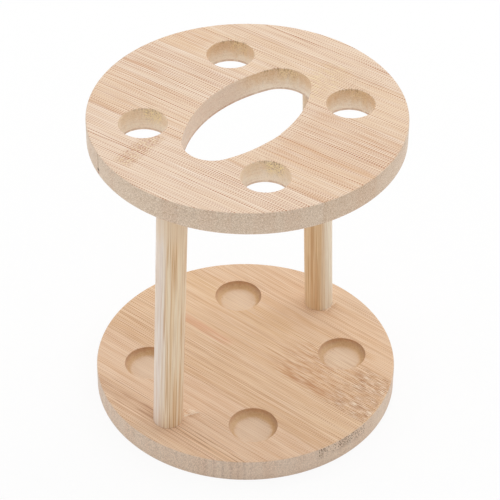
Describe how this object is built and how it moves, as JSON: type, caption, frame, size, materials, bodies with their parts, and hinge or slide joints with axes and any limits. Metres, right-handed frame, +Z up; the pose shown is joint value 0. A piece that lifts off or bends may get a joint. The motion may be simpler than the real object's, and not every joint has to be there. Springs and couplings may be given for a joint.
{
  "type": "toothbrush holder",
  "caption": "Two-tier round bamboo toothbrush holder: a holed upper board with an oval tube opening, carried on dowel posts over a recessed base.",
  "frame": {"origin": "centre of the base board's underside, on the surface it stands on", "axes": "+Z up; X along the line of the posts at the base, right post at +X; Y along the boards' grain"},
  "size_m": [0.12, 0.12, 0.1315],
  "materials": {
    "board": "plain pressed bamboo board, sanded, unvarnished, straight fine grain across the line of the posts",
    "dowel": "bamboo dowel, sanded, fibres along its length",
    "screw_steel": "zinc-plated steel"
  },
  "bodies": {
    "root": {"base_board": "board", "upper_board": "board", "left_post": "dowel", "right_post": "dowel", "base_screws": "screw_steel"}
  },
  "joints": []
}
